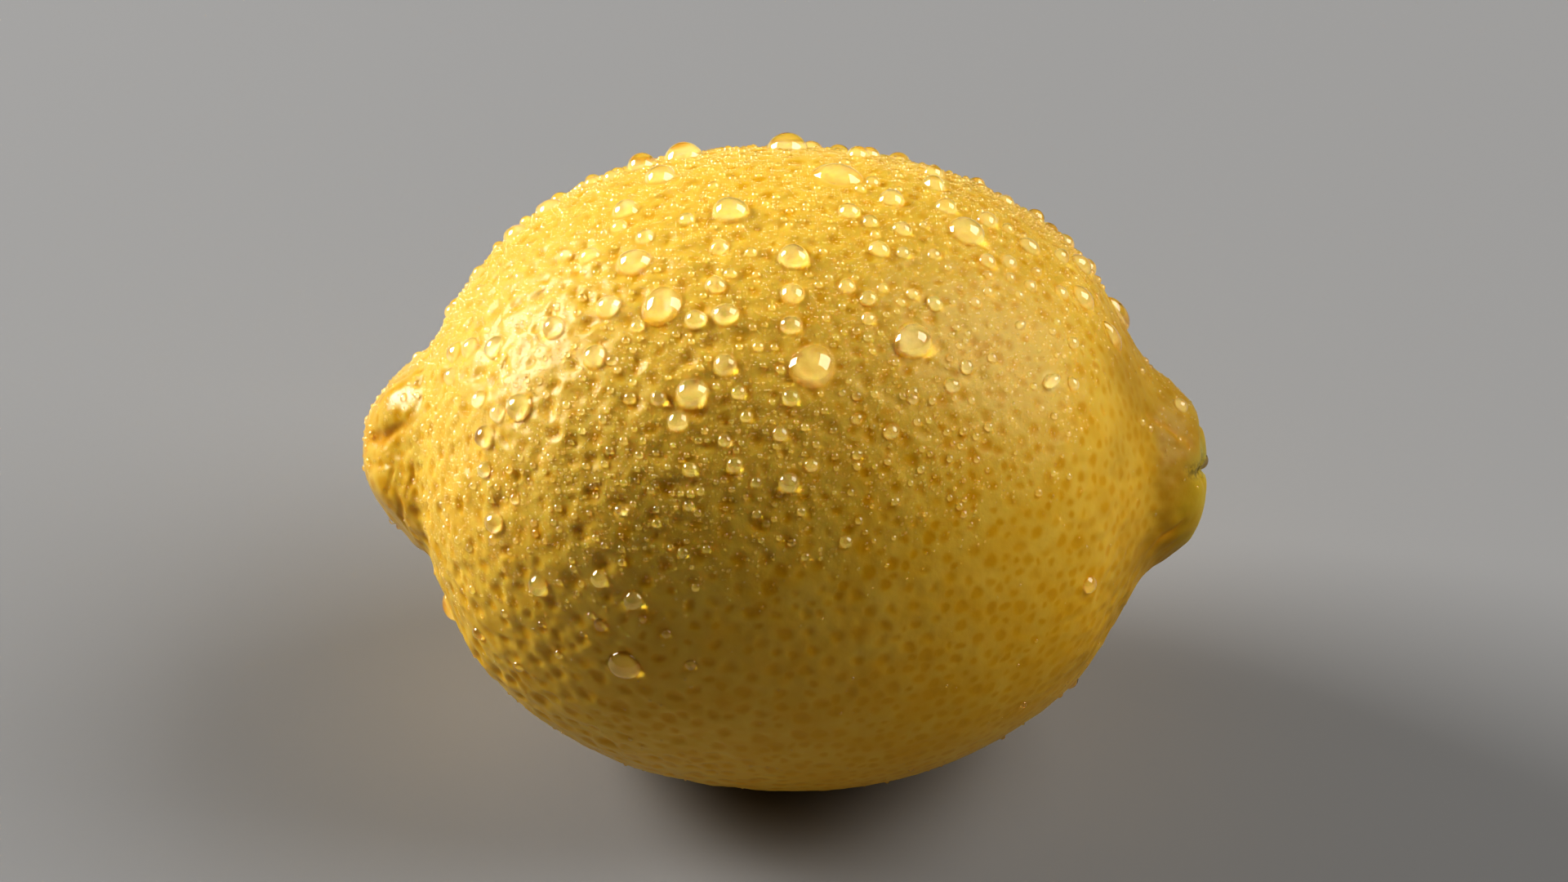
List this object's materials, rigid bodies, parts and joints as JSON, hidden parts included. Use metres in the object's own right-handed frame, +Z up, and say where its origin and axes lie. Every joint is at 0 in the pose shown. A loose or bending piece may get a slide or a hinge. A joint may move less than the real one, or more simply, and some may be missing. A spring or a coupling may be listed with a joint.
{
  "type": "lemon",
  "caption": "Whole fresh lemon lying on its side, with a wrinkled blossom nipple, a smooth stem neck and a pored yellow rind wet with water drops.",
  "frame": {"origin": "middle of the bounding box's underside, on the small flat that the lemon rests on", "axes": "+X along the fruit's long axis towards the stem neck, +Z up, +Y to the far side"},
  "size_m": [0.0818, 0.0626, 0.0609],
  "materials": {
    "rind": "gloss",
    "water": "gloss"
  },
  "bodies": {
    "root": {"lemon": "rind"}
  },
  "joints": []
}
